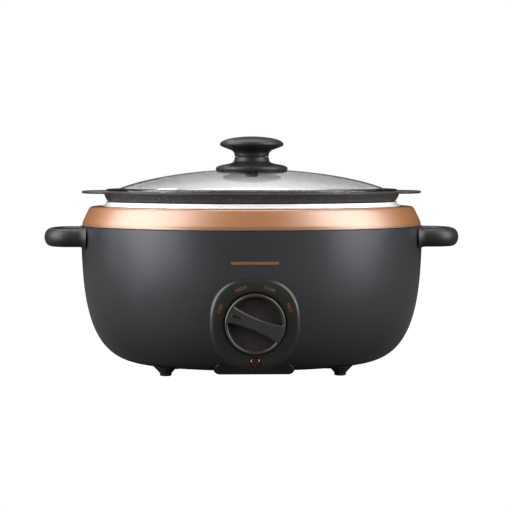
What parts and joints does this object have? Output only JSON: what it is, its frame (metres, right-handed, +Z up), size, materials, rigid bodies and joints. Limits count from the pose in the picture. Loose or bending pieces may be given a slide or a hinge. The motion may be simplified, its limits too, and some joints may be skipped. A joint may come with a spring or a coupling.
{
  "type": "slow cooker",
  "caption": "Oval electric slow cooker: heated base with rotary control and side handles, lift-out cooking pot with end ears, and a domed glass lid with a knob.",
  "frame": {"origin": "on the table, under the middle of the oval body", "axes": "+X to the right handle along the oval's length, -Y to the control panel's side, +Z up"},
  "size_m": [0.4476, 0.3145, 0.2524],
  "materials": {
    "charcoal_body": "satin charcoal, fine moulded grain",
    "copper_trim": "glossy rose-gold metallic paint",
    "handle_black": "black phenolic, satin gloss",
    "panel_black": "black moulding, satin",
    "steel": "plain bright steel",
    "liner_aluminium": "satin white aluminium",
    "cast_non_stick": "dark speckled non-stick coating on cast aluminium",
    "lid_glass": "clear tempered glass",
    "silicone": "grey silicone",
    "rubber": "matt black rubber",
    "red_lens": "clear red moulding",
    "ceramic": "unglazed white ceramic",
    "mica": "mica sheet",
    "lamp_glass": "clear glass",
    "lead_sleeve": "white glass-fibre and silicone sleeve"
  },
  "bodies": {
    "base": {"outer_housing": "charcoal_body", "trim_band": "copper_trim", "base_cover": "panel_black", "right_handle": "handle_black", "left_handle": "handle_black", "control_bezel": "panel_black", "indicator_lens": "red_lens", "rotary_switch": "ceramic", "inner_liner": "liner_aluminium", "heater_band": "mica", "cord_gland": "handle_black", "foot_pad_front_left": "rubber", "foot_pad_front_right": "rubber", "foot_pad_rear_left": "rubber", "foot_pad_rear_right": "rubber", "base_screw_1": "steel", "base_screw_2": "steel", "base_screw_3": "steel", "base_screw_4": "steel", "handle_screw_left_front": "steel", "handle_screw_left_rear": "steel", "handle_screw_right_front": "steel", "handle_screw_right_rear": "steel", "switch_screw_1": "steel", "switch_screw_2": "steel", "liner_stud": "steel", "stud_nut": "steel", "thermal_cutout": "ceramic", "cutout_clip": "steel", "heater_terminal_live": "steel", "heater_terminal_neutral": "steel", "neon_lamp": "lamp_glass", "lead_supply_to_switch": "lead_sleeve", "lead_supply_to_heater": "lead_sleeve", "lead_switch_to_heater": "lead_sleeve", "lead_switch_to_lamp": "lead_sleeve"},
    "dial": {"control_dial": "panel_black", "switch_shaft": "steel", "dial_clip": "steel"},
    "pot": {"cooking_pot": "cast_non_stick"},
    "lid": {"lid_glass": "lid_glass", "knob_base": "handle_black", "knob_cap": "handle_black", "knob_gasket": "silicone", "knob_washer": "silicone", "knob_screw": "steel"}
  },
  "joints": [
    {"name": "dial_turn", "type": "hinge", "parent": "base", "child": "dial", "pos_m": [0, -0.1515, 0.064], "axis": [0, 1, 0], "range_deg": [0, 132]},
    {"name": "pot_lift", "type": "slide", "parent": "base", "child": "pot", "axis": [0, 0, 1], "range_m": [0, 0.16]},
    {"name": "lid_lift", "type": "slide", "parent": "pot", "child": "lid", "axis": [0, 0, 1], "range_m": [0, 0.1]}
  ]
}
